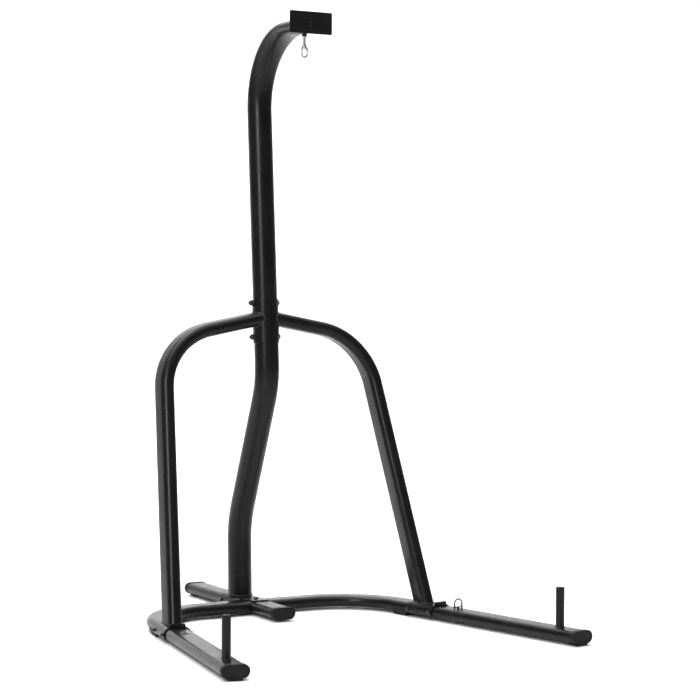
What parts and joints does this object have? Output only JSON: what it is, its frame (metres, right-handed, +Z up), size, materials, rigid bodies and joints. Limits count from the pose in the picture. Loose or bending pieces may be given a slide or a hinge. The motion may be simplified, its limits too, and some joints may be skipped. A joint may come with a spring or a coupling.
{
  "type": "punching bag stand",
  "caption": "Free-standing tubular steel stand with a gooseneck post, spread side tubes, a U-shaped floor frame with weight pegs, and a swivelling snap hook for a heavy bag.",
  "frame": {"origin": "on the floor, at the middle of the stand's bounding box", "axes": "+Z up, the open front of the stand and the plate of the gooseneck face -Y, +X is the stand's side that carries the ring eye"},
  "size_m": [1.3092, 1.5758, 2.034],
  "materials": {
    "black_powder_coat": "satin black powder coat",
    "black_plastic": "moulded black plastic",
    "zinc_plated_steel": "bright zinc plating",
    "black_oxide_steel": "blackened steel fasteners and inner sleeves"
  },
  "bodies": {
    "stand": {"post_joint_liner": "black_oxide_steel", "right_saddle": "black_powder_coat", "left_saddle": "black_powder_coat", "right_side_tube": "black_powder_coat", "left_side_tube": "black_powder_coat", "lower_saddle_bolt": "black_oxide_steel", "lower_saddle_washer": "black_oxide_steel", "lower_saddle_cap_nut": "black_oxide_steel", "upper_saddle_bolt": "black_oxide_steel", "upper_saddle_washer": "black_oxide_steel", "upper_saddle_cap_nut": "black_oxide_steel", "hanger_plate": "black_powder_coat", "upper_post": "black_powder_coat", "lower_post": "black_powder_coat", "hanger_stem": "zinc_plated_steel", "hanger_upper_washer": "black_oxide_steel", "hanger_lower_washer": "black_oxide_steel", "hanger_lock_nut": "black_oxide_steel", "right_base_leg": "black_powder_coat", "left_base_leg": "black_powder_coat", "right_leg_joint_sleeve": "black_oxide_steel", "left_leg_joint_sleeve": "black_oxide_steel", "right_foot_bracket": "black_powder_coat", "left_foot_bracket": "black_powder_coat", "right_rear_bracket_bolt": "black_oxide_steel", "left_rear_bracket_bolt": "black_oxide_steel", "right_rear_bracket_nut": "black_oxide_steel", "left_rear_bracket_nut": "black_oxide_steel", "right_front_bracket_bolt": "black_oxide_steel", "left_front_bracket_bolt": "black_oxide_steel", "right_front_bracket_nut": "black_oxide_steel", "left_front_bracket_nut": "black_oxide_steel", "base_arc": "black_powder_coat", "front_foot_stub": "black_powder_coat", "rear_foot_bar": "black_powder_coat", "post_foot_bracket": "black_powder_coat", "post_foot_rear_bolt": "black_oxide_steel", "post_foot_rear_nut": "black_oxide_steel", "post_foot_front_bolt": "black_oxide_steel", "post_foot_front_nut": "black_oxide_steel", "right_leg_end_cap": "black_plastic", "left_leg_end_cap": "black_plastic", "front_stub_end_cap": "black_plastic", "rear_bar_end_cap": "black_plastic", "right_corner_foot": "black_plastic", "left_corner_foot": "black_plastic", "right_weight_peg": "black_powder_coat", "left_weight_peg": "black_powder_coat", "right_peg_plug": "black_plastic", "left_peg_plug": "black_plastic", "right_peg_bolt": "black_oxide_steel", "left_peg_bolt": "black_oxide_steel", "right_tether_eye_bolt": "black_oxide_steel", "right_tether_eye_nut": "black_oxide_steel", "left_spare_bolt": "black_oxide_steel", "left_spare_washer": "zinc_plated_steel", "left_spare_nut": "black_oxide_steel"},
    "snap_hook": {"snap_hook_body": "zinc_plated_steel", "snap_gate_pin": "zinc_plated_steel"},
    "snap_gate": {"snap_gate": "zinc_plated_steel"}
  },
  "joints": [
    {"name": "hook_swivel", "type": "hinge", "parent": "stand", "child": "snap_hook", "pos_m": [0, -0.04709, 1.9226], "axis": [0, 0, 1], "continuous": true},
    {"name": "snap_gate_hinge", "type": "hinge", "parent": "snap_hook", "child": "snap_gate", "pos_m": [0.0098, -0.04709, 1.911], "axis": [0, 1, 0], "range_deg": [0, 25], "stiffness_Nm_per_rad": 0.02, "springref_deg": -17.19}
  ]
}
